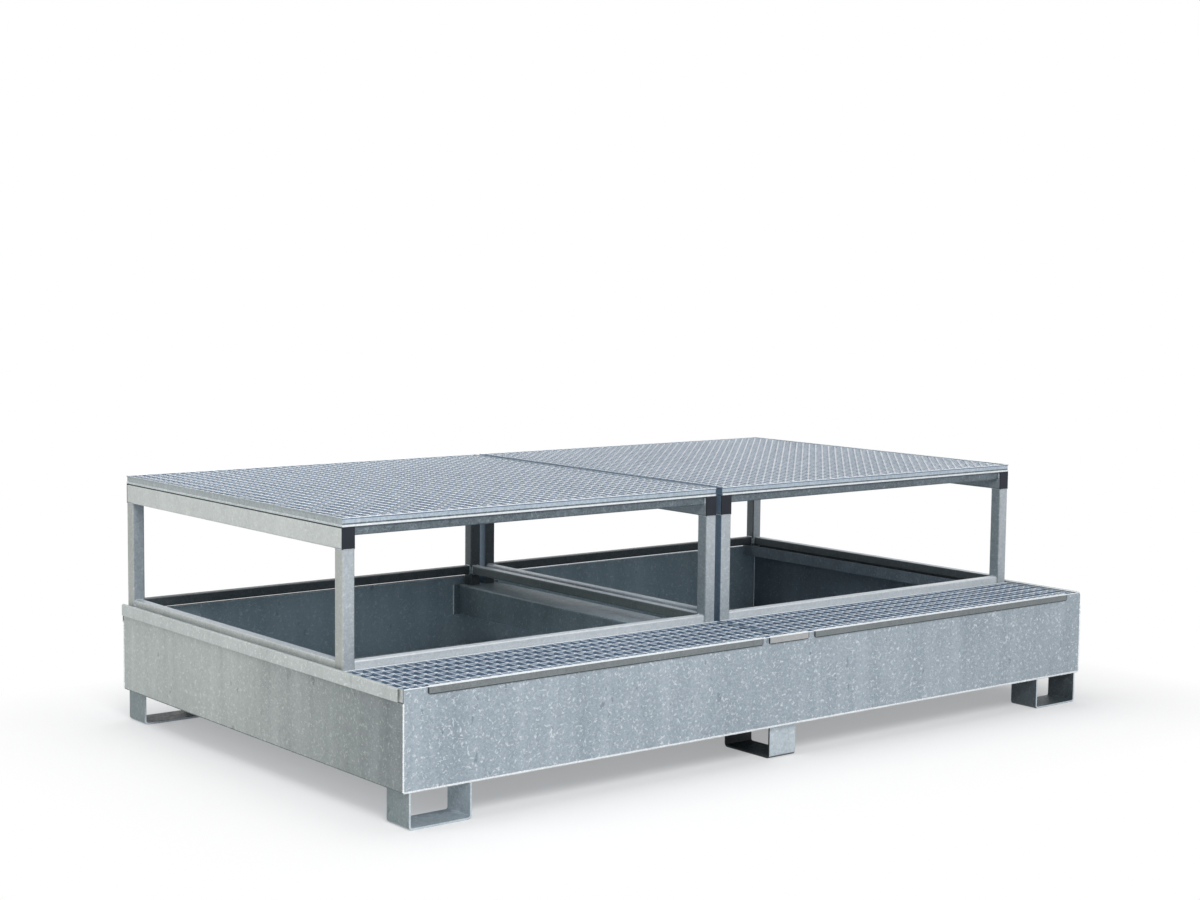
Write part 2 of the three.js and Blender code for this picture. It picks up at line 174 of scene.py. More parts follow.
# Colours of the patches that differ from the rest of a finish: most of them paint in light and shade
INNER_PATCH = {"dark": (132, 148, 157), "light": (172, 187, 194), "fleck": (208, 218, 222)}
# Painted shade inside the right-hand bay and on the ledges
INNER_RIGHT_SHADE_PATCH = {"dark": (72, 82, 90), "light": (104, 116, 124), "fleck": (130, 142, 150)}
# Painted shade on the middle beam and its end plates
BEAM_SHADE_PATCH = {"dark": (84, 96, 102), "light": (122, 138, 144), "fleck": (150, 164, 170)}
# Painted light: the greener tone of the light on the short walls' outsides
SIDE_LIGHT_PATCH = {"dark": (138, 145, 142), "light": (190, 197, 194), "fleck": (214, 219, 216)}
# Painted shade on the front of the short walls' outsides
SIDE_FRONT_SHADE_PATCH = {"dark": (92, 100, 102), "light": (144, 152, 153), "fleck": (178, 185, 185)}
# Painted light on the folded lips, which face up more than the walls
LIP_LIGHT_PATCH = {"dark": (164, 171, 169), "light": (198, 204, 202), "fleck": (228, 232, 231)}
SHADE_PATCH = {"dark": (34, 42, 44), "light": (54, 64, 66), "fleck": (66, 76, 78)}
# Painted shade on the legs' outward sides, and painted light on the rails' outward sides
LEG_SIDE_SHADE_PATCH = {"dark": (142, 147, 144), "light": (186, 190, 186), "fleck": (216, 219, 216)}
RAIL_SIDE_LIGHT_PATCH = {"dark": (166, 172, 169), "light": (212, 217, 214), "fleck": (234, 238, 236)}
# Painted light on the front of the lower rails
RAIL_FRONT_LIGHT_PATCH = {"dark": (196, 204, 209), "light": (236, 241, 244), "fleck": (250, 252, 253)}
# Painted shade on tube faces that look into a stand and on the rear legs' front faces, deeper on the
# lower rails and darkest at the rear
TUBE_INNER_SHADE_PATCH = {"dark": (106, 118, 123), "light": (156, 168, 173), "fleck": (186, 196, 200)}
TUBE_BACK_SHADE_PATCH = {"dark": (132, 141, 148), "light": (176, 185, 192), "fleck": (204, 212, 217)}
TUBE_DEEP_SHADE_PATCH = {"dark": (78, 86, 86), "light": (112, 121, 120), "fleck": (134, 142, 142)}
TUBE_REAR_SHADE_PATCH = {"dark": (50, 57, 60), "light": (84, 92, 95), "fleck": (106, 114, 117)}
# Painted shade in the gap between the stands
BETWEEN_SHADE_PATCH = {"dark": (82, 102, 121), "light": (122, 142, 160), "fleck": (146, 162, 176)}
# Painted shade on the top cross rails and deck bearers under the decks' edges, and in the gratings'
# frame groove
CROSS_SHADE_PATCH = {"dark": (40, 50, 57), "light": (128, 142, 150), "fleck": (172, 182, 190)}
STRIP_LIGHT_PATCH = {"dark": (146, 148, 148), "light": (184, 186, 186), "fleck": (206, 208, 208)}
# Painted highlight on upper edges that face the light, and on the gratings' lower lips
EDGE_HIGHLIGHT_PATCH = {"dark": (214, 222, 227), "light": (246, 250, 252), "fleck": (255, 255, 255)}
RIM_PATCH = {"dark": (150, 166, 180), "light": (200, 212, 222), "fleck": (226, 234, 240)}
# Painted shade on the grating frames' ends, with a dimmer painted highlight on the lower lip of those
# ends
RIM_SIDE_SHADE_PATCH = {"dark": (128, 137, 139), "light": (178, 187, 188), "fleck": (208, 215, 215)}
RIM_FOOT_HIGHLIGHT_PATCH = {"dark": (156, 164, 164), "light": (208, 215, 214), "fleck": (232, 237, 236)}
# Painted shade in the gratings' cells, and painted highlights on the knots and the tops of the bars
DECK_CELL_SHADE_PATCH = {"dark": (52, 76, 106), "light": (100, 124, 152), "fleck": (130, 152, 174)}
FRONT_CELL_SHADE_PATCH = {"dark": (88, 112, 140), "light": (138, 160, 184), "fleck": (166, 182, 200)}
KNOT_HIGHLIGHT_PATCH = {"dark": (232, 238, 242), "light": (255, 255, 255), "fleck": (255, 255, 255)}
# Painted shade and light on the feet
FOOT_SIDE_SHADE_PATCH = {"dark": (98, 110, 112), "light": (144, 156, 158), "fleck": (176, 186, 188)}
FOOT_DEEP_SHADE_PATCH = {"dark": (58, 66, 71), "light": (92, 102, 108), "fleck": (124, 134, 140)}
FOOT_DARK_SHADE_PATCH = {"dark": (26, 31, 34), "light": (54, 61, 64), "fleck": (82, 90, 94)}
FOOT_FACE_LIGHT_PATCH = {"dark": (164, 176, 184), "light": (212, 222, 228), "fleck": (240, 245, 248)}

# Where those patches begin and end
SHEET_MIDDLE = 0.0015
LIP_DROP = 0.036
SHADE_WIDTH = 0.0025
# Where the painted shade on the short walls' front fades out
SIDE_FRONT_FADE = (-0.8, 0.15)
# Where the painted light on the beam's top fades out
BEAM_FADE = (-0.3, 0.5)
FACE_SHARES = (0.3, 0.7)
JOINT_SHADE = 0.0035
# Width of the painted highlight on upper edges, and of the painted shade on the back wall's rim
PAINTED_EDGE_WIDTH = 0.0022
# Width of the painted highlight along the strips' top
STRIP_EDGE = 0.0045
# Width of the painted shadow along the strips' lower edge and ends
STRIP_OUTLINE = 0.0022
# Depths below the bars' tops where the cells' painted shade begins and fades in, and the depth and slant
# of the knots' painted highlight
DECK_BRIGHT = 0.0017
FRONT_BRIGHT = 0.0066
BAR_SIDE_BRIGHT = 0.0016
CELL_FADE = 0.0011
KNOT_BRIGHT = 0.0034
KNOT_FACING = (0.4, 0.9)

# Plastic end caps
CAP_DARK = (20, 24, 31)
CAP_LIGHT = (40, 46, 57)
CAP_CLOUD_SCALE = 12.0
CAP_GRAIN_SCALE = 900.0
CAP_GLOSS = (0.45, 0.65)
CAP_SPECULAR = 0.3

# Gratings: flat bars in a rim that is thicker along its top and bottom edges, and zinc where bars cross
BAR_THICKNESS = 0.0028
BAR_DROP = 0.0010
BAR_CHAMFER = 0.0006
CROSS_BAR_THICKNESS = 0.0024
CROSS_BAR_HEIGHT = 0.011
CROSS_BAR_DROP = 0.0013
MAIN_PITCH = 0.0333
DECK_CROSS_PITCH = 0.0333
FRONT_CROSS_PITCH = 0.050
RIM_THICKNESS = 0.004
RIM_RECESS = 0.0016
RIM_TOP_LIP = 0.0045
RIM_BOTTOM_LIP = 0.0060
RIM_GROOVE = 0.0040
RIM_CHAMFER = 0.0007
KNOT_REACH = 0.0050
KNOT_DROP = 0.0001

# Weld beads, and the seed of their unevenness
BEAD_STEP = 0.0028
BEAD_SIDES = 7
BEAD_RIPPLE = 0.16
BEAD_WANDER = 0.0003
BEAD_END_SHARE = 0.35
SEAM_RADIUS = 0.0030
SEAM_INSET = 0.0006
CORNER_RADIUS = 0.0022
FILLET_RADIUS = 0.0024
THIN_RADIUS = 0.0013
RING_CORNER = 0.0035
CRADLE_DROP = 0.004
STITCH_LENGTH = 0.06
STITCH_PITCH = 0.30
SEED = 4368

# Words in the names of the CAD nodes
HANDS = ("left", "right")
PLACES = ("inner", "outer")
ENDS = ("front", "back")

# The curve between the numbers of a screen's colour and linear light
SCREEN_WHITE = 255
SCREEN_KNEE = 0.04045
SCREEN_SLOPE = 12.92
SCREEN_OFFSET = 0.055
SCREEN_POWER = 2.4

# Sockets of Blender's Mix node when it mixes colours
MIX_FIRST = 6
MIX_SECOND = 7
MIX_RESULT = 2

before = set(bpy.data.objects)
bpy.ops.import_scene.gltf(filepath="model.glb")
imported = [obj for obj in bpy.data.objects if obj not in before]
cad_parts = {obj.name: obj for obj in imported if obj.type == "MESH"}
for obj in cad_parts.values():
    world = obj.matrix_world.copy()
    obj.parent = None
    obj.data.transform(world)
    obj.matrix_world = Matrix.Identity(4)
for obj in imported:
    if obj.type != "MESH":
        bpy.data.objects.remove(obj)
cad_low, cad_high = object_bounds()
scene = bpy.context.scene
scene.view_settings.view_transform = "Standard"
chance = np.random.default_rng(SEED)


def linear(colour):
    """Red, green and blue of 0 to 255, as seen on a screen, to the linear values of a shader."""
    values = []
    for number in colour:
        share = number / SCREEN_WHITE
        if share > SCREEN_KNEE:
            values.append(((share + SCREEN_OFFSET) / (1 + SCREEN_OFFSET)) ** SCREEN_POWER)
        else:
            values.append(share / SCREEN_SLOPE)
    return (*values, 1.0)


def make_camera():
    """Camera at the photograph's viewing angle."""
    heading = Vector((math.sin(CAMERA_HEADING), math.cos(CAMERA_HEADING), 0))
    forward = heading * math.cos(CAMERA_DIP) - Vector((0, 0, math.sin(CAMERA_DIP)))
    right = Vector((math.cos(CAMERA_HEADING), -math.sin(CAMERA_HEADING), 0))
    down = forward.cross(right)
    rolled_right = right * math.cos(CAMERA_ROLL) + down * math.sin(CAMERA_ROLL)
    rolled_down = down * math.cos(CAMERA_ROLL) - right * math.sin(CAMERA_ROLL)
    turn = Matrix((rolled_right, -rolled_down, -forward)).transposed()
    data = bpy.data.cameras.new("camera")
    data.sensor_width = CAMERA_SENSOR
    data.lens = CAMERA_LENS
    camera = bpy.data.objects.new("camera", data)
    camera.matrix_world = Matrix.Translation(CAMERA_PLACE) @ turn.to_4x4()
    scene.collection.objects.link(camera)
    scene.camera = camera


def add_node(tree, kind, inputs=None, **settings):
    """Adds a shader node. Each input gets a value, or a link from another node's output."""
    made = tree.nodes.new(kind)
    for name, value in settings.items():
        setattr(made, name, value)
    for name, value in (inputs or {}).items():
        if isinstance(value, bpy.types.NodeSocket):
            tree.links.new(value, made.inputs[name])
        else:
            made.inputs[name].default_value = value
    return made


def maths(tree, operation, first, second=0.0):
    """Output of a node that works out one number from two."""
    return add_node(tree, "ShaderNodeMath", {0: first, 1: second}, operation=operation).outputs[0]


def vector_maths(tree, operation, first, second=(0, 0, 0)):
    """Node that works out a vector, or its length, from two vectors."""
    return add_node(tree, "ShaderNodeVectorMath", {0: first, 1: second}, operation=operation)


def mixed(tree, share, first, second, held=True):
    """Output of a node that mixes two colours. A share that isn't held may pass the two."""
    inputs = {0: share, MIX_FIRST: first, MIX_SECOND: second}
    made = add_node(tree, "ShaderNodeMix", inputs, data_type="RGBA", clamp_factor=held)
    made.clamp_result = not held
    return made.outputs[MIX_RESULT]


def ranged(tree, value, old, new=(0.0, 1.0)):
    """Output of a node that moves a number from one range into another, and holds it there."""
    inputs = {"Value": value, "From Min": old[0], "From Max": old[1], "To Min": new[0], "To Max": new[1]}
    return add_node(tree, "ShaderNodeMapRange", inputs).outputs["Result"]


def noise(tree, place, scale, detail=LAYER_DETAIL):
    """Output of a noise texture."""
    inputs = {"Vector": place, "Scale": scale, "Detail": detail}
    return add_node(tree, "ShaderNodeTexNoise", inputs).outputs["Fac"]


def seen_rays(tree):
    """Output that is 1 for what the camera sees, directly, in a reflection or through glass."""
    rays = add_node(tree, "ShaderNodeLightPath").outputs
    direct = maths(tree, "MAXIMUM", rays["Is Camera Ray"], rays["Is Glossy Ray"])
    return maths(tree, "MAXIMUM", direct, rays["Is Transmission Ray"])


def make_world():
    """Even sky that lights the object, and a white one for what is seen past it."""
    world = bpy.data.worlds.new("sky")
    world.use_nodes = True
    tree = world.node_tree
    tree.nodes.clear()
    sky = add_node(
        tree, "ShaderNodeBackground", {"Color": linear(SKY_COLOUR), "Strength": SKY_STRENGTH}
    )
    white = add_node(
        tree, "ShaderNodeBackground", {"Color": (1, 1, 1, 1), "Strength": BACKDROP_STRENGTH}
    )
    inputs = {0: seen_rays(tree), 1: sky.outputs[0], 2: white.outputs[0]}
    mix = add_node(tree, "ShaderNodeMixShader", inputs)
    add_node(tree, "ShaderNodeOutputWorld", {"Surface": mix.outputs[0]})
    scene.world = world


def make_floor():
    """Wide pale floor. A share of its white is a glow, which grows to all of it beyond the object."""
    material = bpy.data.materials.new("floor_white")
    material.use_nodes = True
    tree = material.node_tree
    tree.nodes.clear()
    matt = add_node(tree, "ShaderNodeBsdfDiffuse", {"Color": linear(FLOOR_COLOUR)})
    glow = add_node(
        tree, "ShaderNodeEmission", {"Color": (1, 1, 1, 1), "Strength": BACKDROP_STRENGTH}
    )
    place = add_node(tree, "ShaderNodeTexCoord").outputs["Object"]
    half = (cad_high.x, cad_high.y, 0)
    mirrored = vector_maths(tree, "ABSOLUTE", place).outputs[0]
    beyond = vector_maths(tree, "SUBTRACT", mirrored, half).outputs[0]
    outside = vector_maths(tree, "MAXIMUM", beyond, (0, 0, 0)).outputs[0]
    away = vector_maths(tree, "LENGTH", outside).outputs["Value"]
    glowing = ranged(tree, away, FLOOR_GLOW_REACH, FLOOR_GLOW)
    share = maths(tree, "MULTIPLY", seen_rays(tree), glowing)
    mix = add_node(tree, "ShaderNodeMixShader", {0: share, 1: matt.outputs[0], 2: glow.outputs[0]})
    add_node(tree, "ShaderNodeOutputMaterial", {"Surface": mix.outputs[0]})

    turns = [math.tau * side / FLOOR_SIDES for side in range(FLOOR_SIDES)]
    rim = [(FLOOR_RADIUS * math.cos(turn), FLOOR_RADIUS * math.sin(turn), 0) for turn in turns]
    mesh = bpy.data.meshes.new("floor")
    mesh.from_pydata(rim, [], [list(range(FLOOR_SIDES))])
    mesh.materials.append(material)
    floor = bpy.data.objects.new("floor", mesh)
    scene.collection.objects.link(floor)


def make_lamps():
    """Large soft lamps above and in front."""
    for name, place, target, size, power in LAMPS:
        data = bpy.data.lights.new(name, "AREA")
        data.size = size
        data.energy = power
        lamp = bpy.data.objects.new(name, data)
        lamp.location = place
        aim = Vector(target) - Vector(place)
        lamp.rotation_euler = aim.to_track_quat("-Z", "Y").to_euler()
        scene.collection.objects.link(lamp)


def zinc_strokes(tree, place, strength):
    """Output of pale bent strokes, which lie in patches."""
    middle = 1 / 2
    inputs = {"Vector": place, "Scale": STROKE_SCALE, "Detail": STROKE_DETAIL, "Distortion": STROKE_BEND}
    bends = add_node(tree, "ShaderNodeTexNoise", inputs).outputs["Fac"]
    off_line = maths(tree, "ABSOLUTE", maths(tree, "SUBTRACT", bends, middle))
    line = ranged(tree, off_line, (0.0, STROKE_WIDTH), (strength, 0.0))
    patchy = ranged(tree, noise(tree, place, STROKE_PATCH_SCALE, STROKE_DETAIL), STROKE_PATCH_RANGE)
    return maths(tree, "MULTIPLY", line, patchy)


def zinc_scratches(tree, place, strength):
    """Output of short dark scratches."""
    short = add_node(tree, "ShaderNodeMapping", {"Vector": place, "Scale": SCRATCH_STRETCH})
    scratched = noise(tree, short.outputs["Vector"], SCRATCH_SCALE)
    return ranged(tree, scratched, SCRATCH_RANGE, (0.0, strength))


def zinc_layers(tree, place, look):
    """Outputs of the zinc's shade, from 0, dark, to 1, light, and of its crystals, clouds and grain."""
    inputs = {"Vector": place, "Scale": 1 / look["spangle"]}
    cells = add_node(tree, "ShaderNodeTexVoronoi", inputs).outputs["Color"]
    crystals = add_node(tree, "ShaderNodeSeparateColor", {"Color": cells}).outputs["Red"]
    clouds = noise(tree, place, CLOUD_SCALE)
    grain = noise(tree, place, GRAIN_SCALE)
    inputs = {"Vector": place, "Rotation": STREAK_LEAN, "Scale": STREAK_STRETCH}
    tall = add_node(tree, "ShaderNodeMapping", inputs)
    streaks = noise(tree, tall.outputs["Vector"], STREAK_SCALE)

    middle = 1 / 2
    shade = middle
    layers = [
        (crystals, look["grain"]),
        (grain, look["grain"]),
        (noise(tree, place, MOTTLE_SCALE), MOTTLE_STRENGTH),
        (clouds, CLOUD_STRENGTH),
        (streaks, look["streaks"]),
    ]
    for layer, strength in layers:
        centred = maths(tree, "SUBTRACT", layer, middle)
        shade = maths(tree, "ADD", maths(tree, "MULTIPLY", centred, strength), shade)
    shade = maths(tree, "SUBTRACT", shade, zinc_scratches(tree, place, look["scratches"]))
    return ranged(tree, shade, SHADE_RANGE, SHADE_RANGE), crystals, clouds, grain


def zinc(name, look, patches=()):
    """Hot-dip zinc with crystals, clouds, runs and strokes. Each patch is a place and its colours; most
    patches paint in light and shade.
    """
    material = bpy.data.materials.new(name)
    material.use_nodes = True
    tree = material.node_tree
    shader = tree.nodes["Principled BSDF"]
    shader.inputs["Metallic"].default_value = ZINC_METALLIC
    source = add_node(tree, "ShaderNodeTexCoord").outputs
    at = add_node(tree, "ShaderNodeSeparateXYZ", {"Vector": source["Object"]}).outputs
    facing = add_node(tree, "ShaderNodeSeparateXYZ", {"Vector": source["Normal"]}).outputs
    shade, crystals, clouds, grain = zinc_layers(tree, source["Object"], look)
    strokes = zinc_strokes(tree, source["Object"], look["strokes"])
    colours = {key: linear(look[key]) for key in ("dark", "light", "fleck")}
    for where, patch in patches:
        share = where(tree, at, facing)
        for key in colours:
            colours[key] = mixed(tree, share, colours[key], linear(patch[key]))
    body = mixed(tree, shade, colours["dark"], colours["light"], False)
    tree.links.new(mixed(tree, strokes, body, colours["fleck"]), shader.inputs["Base Color"])

    matt = maths(tree, "DIVIDE", maths(tree, "ADD", crystals, clouds), 2.0)
    gloss = ranged(tree, matt, GLOSS_RANGE, look["gloss"])
    tree.links.new(gloss, shader.inputs["Roughness"])
    height = maths(tree, "ADD", grain, maths(tree, "DIVIDE", crystals, 2.0))
    inputs = {"Height": height, "Strength": BUMP_STRENGTH, "Distance": BUMP_DISTANCE}
    bump = add_node(tree, "ShaderNodeBump", inputs)
    tree.links.new(bump.outputs["Normal"], shader.inputs["Normal"])
    return material


def product(tree, shares):
    """Output that is the product of several shares."""
    result = shares[0]
    for share in shares[1:]:
        result = maths(tree, "MULTIPLY", result, share)
    return result


def over(tree, value, limit):
    """Output that is 1 where a value is over a limit."""
    return maths(tree, "GREATER_THAN", value, limit)


def under(tree, value, limit):
    """Output that is 1 where a value is under a limit."""
    return maths(tree, "LESS_THAN", value, limit)


def from_middle(tree, at):
    """Output of the distance to the left or the right of the object's middle."""
    return maths(tree, "ABSOLUTE", at["X"])


def faces_sideways(tree, facing):
    """Output that is 1 on faces that look to the left or the right."""
    return over(tree, maths(tree, "ABSOLUTE", facing["X"]), FACE_SHARES[1])


def faces_up(tree, facing):
    """Output that is 1 on faces that look up."""
    return over(tree, facing["Z"], FACE_SHARES[1])


def tray_hollow():
    """Lowest and highest corner of the room inside the tray's walls."""
    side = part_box("tray_wall_right")[0].x
    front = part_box("tray_wall_front")[1].y
    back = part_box("tray_wall_back")[0].y
    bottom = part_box("tray_floor")[1].z
    return Vector((-side, front, bottom)), Vector((side, back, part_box("tray_wall_right")[1].z))


def inside_tray(tree, at, facing):
    """Where faces look into the tray."""
    low, high = tray_hollow()
    tests = [
        under(tree, from_middle(tree, at), high.x + SHEET_MIDDLE),
        over(tree, at["Y"], low.y - SHEET_MIDDLE),
        under(tree, at["Y"], high.y + SHEET_MIDDLE),
        over(tree, at["Z"], low.z - SHEET_MIDDLE),
    ]
    return product(tree, tests)


def inside_right(tree, at, facing):
    """Where the right-hand wall looks into the tray."""
    near = over(tree, at["X"], tray_hollow()[1].x - SHEET_MIDDLE)
    return product(tree, [near, inside_tray(tree, at, facing)])


def outside_ends(tree, at, facing):
    """Where the short walls of the tray look outwards."""
    far = over(tree, from_middle(tree, at), tray_hollow()[1].x + SHEET_MIDDLE)
    return product(tree, [far, faces_sideways(tree, facing)])


def outside_front(tree, at, facing):
    """The short walls' outsides, where painted shade fades from the front to the back."""
    fade = ranged(tree, at["Y"], SIDE_FRONT_FADE, (1.0, 0.0))
    return product(tree, [fade, outside_ends(tree, at, facing)])


def lip_slot(tree, at, facing):
    """The front wall's ends beside the lips, in the dark slot at their front."""
    low, high = tray_hollow()
    front = under(tree, at["Y"], low.y)
    above = over(tree, at["Z"], high.z - LIP_DROP)
    return product(tree, [front, above, outside_ends(tree, at, facing)])


def back_rim(tree, at, facing):
    """The back wall's upper edge on its left, in the shade of the rail above it."""
    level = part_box("tray_wall_back")[1].z - PAINTED_EDGE_WIDTH
    tests = [
        over(tree, at["Y"], tray_hollow()[1].y - PAINTED_EDGE_WIDTH),
        over(tree, at["Z"], level),
        under(tree, at["Z"], level + PAINTED_EDGE_WIDTH * 2),
        under(tree, at["X"], 0.0),
    ]
    return product(tree, tests)


def on_lip(tree, at, facing):
    """Where the folded lips of the short walls are."""
    corner = tray_hollow()[1]
    far = over(tree, from_middle(tree, at), corner.x + SHEET_MIDDLE)
    return product(tree, [far, over(tree, at["Z"], corner.z - LIP_DROP)])


def below_lip(tree, at, facing):
    """Where the short walls lie in the shadow of their lips."""
    corner = tray_hollow()[1]
    bottom = corner.z - LIP_DROP
    tests = [
        over(tree, from_middle(tree, at), corner.x + SHEET_MIDDLE),
        over(tree, at["Z"], bottom - SHADE_WIDTH),
        under(tree, at["Z"], bottom),
    ]
    return product(tree, tests)


def everywhere(tree, at, facing):
    """All of the surface."""
    return 1.0


def top_edge(node, reach=PAINTED_EDGE_WIDTH):
    """Where the painted highlight along the upper edge of a node is."""
    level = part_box(node)[1].z - reach
    return lambda tree, at, facing: over(tree, at["Z"], level)


def outline(node):
    """Where the painted shadow along the lower edge and at the ends of a node is."""
    low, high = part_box(node)

    def where(tree, at, facing):
        left = under(tree, at["X"], low.x + STRIP_OUTLINE)
        right = over(tree, at["X"], high.x - STRIP_OUTLINE)
        bottom = under(tree, at["Z"], low.z + STRIP_OUTLINE)
        return maths(tree, "MAXIMUM", maths(tree, "MAXIMUM", left, right), bottom)

    return where


def between_stands(tree, at, facing):
    """Where the stands face each other across the gap between them, which gets painted shade."""
    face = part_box("stand_right_leg_front_inner")[0].x + SHEET_MIDDLE
    return under(tree, from_middle(tree, at), face)


def beam_front(tree, at, facing):
    """The beam's top, where painted light fades from the front to the back."""
    fade = ranged(tree, at["Y"], BEAM_FADE, (1.0, 0.0))
    return product(tree, [fade, faces_up(tree, facing)])


def foot_outside(tree, at, facing):
    """The left-hand feet's outer faces, which get painted shade."""
    return under(tree, at["X"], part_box("foot_front_left")[0].x + SHEET_MIDDLE)


def foot_deep(tree, at, facing):
    """Feet that lie deep in the tray's shade, but for their faces on its right-hand side."""
    inner = over(tree, at["X"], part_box("foot_front_left")[1].x + SHEET_MIDDLE)
    return product(tree, [inner, under(tree, at["X"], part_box("foot_front_right")[1].x - SHEET_MIDDLE)])


def foot_dark(tree, at, facing):
    """Painted shade behind the face of the middle foot in front, and on what faces up in the rear feet.
    """
    low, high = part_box("foot_front_middle")
    behind_face = [
        under(tree, from_middle(tree, at), high.x + SHEET_MIDDLE),
        over(tree, at["Y"], low.y + SHEET_MIDDLE),
        under(tree, at["Y"], high.y + SHEET_MIDDLE),
    ]
    rear = [over(tree, at["Y"], 0.0), faces_up(tree, facing)]
    return maths(tree, "MAXIMUM", product(tree, behind_face), product(tree, rear))


def faces_front(tree, at, facing):
    """Faces that look to the front."""
    return over(tree, maths(tree, "MULTIPLY", facing["Y"], -1.0), FACE_SHARES[1])


def stand_middle():
    """Place of the middle of the right-hand stand: the left-hand one mirrors it."""
    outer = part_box("stand_right_leg_back_outer")[1]
    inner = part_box("stand_right_leg_front_inner")[0]
    return (outer + inner) / 2


def tube_ends(tree, at, facing):
    """Where tubes of the stands look out to the left or the right of the tray, and get the painted light
    and shade of those sides.
    """
    outer = over(tree, from_middle(tree, at), stand_middle().x)
    outwards = maths(tree, "MULTIPLY", facing["X"], maths(tree, "SIGN", at["X"]))
    return product(tree, [outer, ranged(tree, outwards, FACE_SHARES)])


def tube_inwards(tree, at, facing):
    """Where tubes of the stands look into their stand, to the left or the right; these get painted
    shade.
    """
    side = maths(tree, "SIGN", at["X"])
    past = maths(tree, "SIGN", maths(tree, "SUBTRACT", from_middle(tree, at), stand_middle().x))
    outwards = product(tree, [facing["X"], side, past])
    return ranged(tree, maths(tree, "MULTIPLY", outwards, -1.0), FACE_SHARES)


def tube_back_inwards(tree, at, facing):
    """Where tubes of the stands look into their stand, to the front or the back; these get painted
    shade.
    """
    past = maths(tree, "SIGN", maths(tree, "SUBTRACT", at["Y"], stand_middle().y))
    outwards = maths(tree, "MULTIPLY", facing["Y"], past)
    return ranged(tree, maths(tree, "MULTIPLY", outwards, -1.0), FACE_SHARES)


def before_stands(tree, at, facing):
    """The front half of the stands."""
    return under(tree, at["Y"], stand_middle().y)


def lower_front(tree, at, facing):
    """The front of the stands' feet, made pale against the dark tray by painted light."""
    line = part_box("stand_right_lower_rail_front")[1].y + SHEET_MIDDLE
    return under(tree, at["Y"], line)


def lower_back(tree, at, facing):
    """The rear of the stands' feet, but for the faces that look to the back."""
    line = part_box("stand_right_lower_rail_back")[0].y - SHEET_MIDDLE
    return product(tree, [over(tree, at["Y"], line), under(tree, facing["Y"], FACE_SHARES[0])])


def lower_right(tree, at, facing):
    """The face of the right-hand stand's outer foot rail that looks into the stand."""
    outer = over(tree, at["X"], stand_middle().x)
    return product(tree, [outer, tube_inwards(tree, at, facing)])


def behind_middle(tree, at):
    """Output that is 1 in the rear half of the stands."""
    return over(tree, at["Y"], stand_middle().y)


def back_inwards(tree, at, facing):
    """The rear legs' faces that look into their stand, to the left or the right."""
    return product(tree, [behind_middle(tree, at), tube_inwards(tree, at, facing)])


def back_middle(tree, at, facing):
    """The rear legs beside the gap between the stands, in the shade of the decks."""
    near = under(tree, from_middle(tree, at), stand_middle().x / 2)
    return product(tree, [behind_middle(tree, at), near])


def below_deck(tree, at, facing):
    """Where the side rails lie in the shadow of the gratings' edges."""
    return over(tree, at["Z"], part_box("deck_grating_left")[0].z - JOINT_SHADE)


def grating_bands(node, bright, cell_shade_patch):
    """Patches of a grating: painted shade in the cells below the bars' tops, painted highlights on the
    tops and the knots, and the faces of its edge frame.
    """
    low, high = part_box(node)
    nearest = min(abs(low.x), abs(high.x)) + RIM_RECESS * 2

    def on_frame(tree, at):
        sides = []
        for axis, name in enumerate(("X", "Y")):
            sides.append(under(tree, at[name], low[axis] + RIM_THICKNESS))
            sides.append(over(tree, at[name], high[axis] - RIM_THICKNESS))
        result = sides[0]
        for side in sides[1:]:
            result = maths(tree, "MAXIMUM", result, side)
        return result

    # Painted shade in the cells below the bars' bright tops
    def cells(tree, at, facing):
        levels = (high.z - bright, high.z - BAR_SIDE_BRIGHT)
        level = ranged(tree, faces_sideways(tree, facing), (0.0, 1.0), levels)
        return ranged(tree, maths(tree, "SUBTRACT", level, at["Z"]), (0.0, CELL_FADE))

    # Painted highlight on the knots' slanted faces, and on the very tops of the bars and knots
    def knots(tree, at, facing):
        slanted = maths(tree, "ABSOLUTE", facing["X"])
        sides = [over(tree, slanted, KNOT_FACING[0]), under(tree, slanted, KNOT_FACING[1])]
        top = over(tree, at["Z"], high.z - KNOT_DROP - BAR_CHAMFER)
        upper = over(tree, at["Z"], high.z - KNOT_BRIGHT)
        return maths(tree, "MAXIMUM", product(tree, [*sides, upper]), top)

    # Painted shade where the grating lies over the gap between the stands
    def in_gap(tree, at, facing):
        return under(tree, from_middle(tree, at), nearest)

    def frame_face(tree, at, facing):
        return product(tree, [on_frame(tree, at), under(tree, at["Z"], high.z - RIM_TOP_LIP)])

    # Painted shade in the frame's groove, and a painted highlight on its lower lip
    def groove(tree, at, facing):
        top = low.z + RIM_BOTTOM_LIP + RIM_GROOVE
        return product(tree, [on_frame(tree, at), under(tree, at["Z"], top)])

    def lower_lip(tree, at, facing):
        return product(tree, [on_frame(tree, at), under(tree, at["Z"], low.z + RIM_BOTTOM_LIP)])

    # Painted shade on the frame's ends, and a painted highlight on their lower lip
    def end_face(tree, at, facing):
        return product(tree, [on_frame(tree, at), faces_sideways(tree, facing)])

    def end_foot(tree, at, facing):
        return product(tree, [end_face(tree, at, facing), lower_lip(tree, at, facing)])

    return [
        (cells, cell_shade_patch),
        (knots, KNOT_HIGHLIGHT_PATCH),
        (frame_face, RIM_PATCH),
        (groove, CROSS_SHADE_PATCH),
        (lower_lip, EDGE_HIGHLIGHT_PATCH),
        (end_face, RIM_SIDE_SHADE_PATCH),
        (end_foot, RIM_FOOT_HIGHLIGHT_PATCH),
        (in_gap, BETWEEN_SHADE_PATCH),
    ]


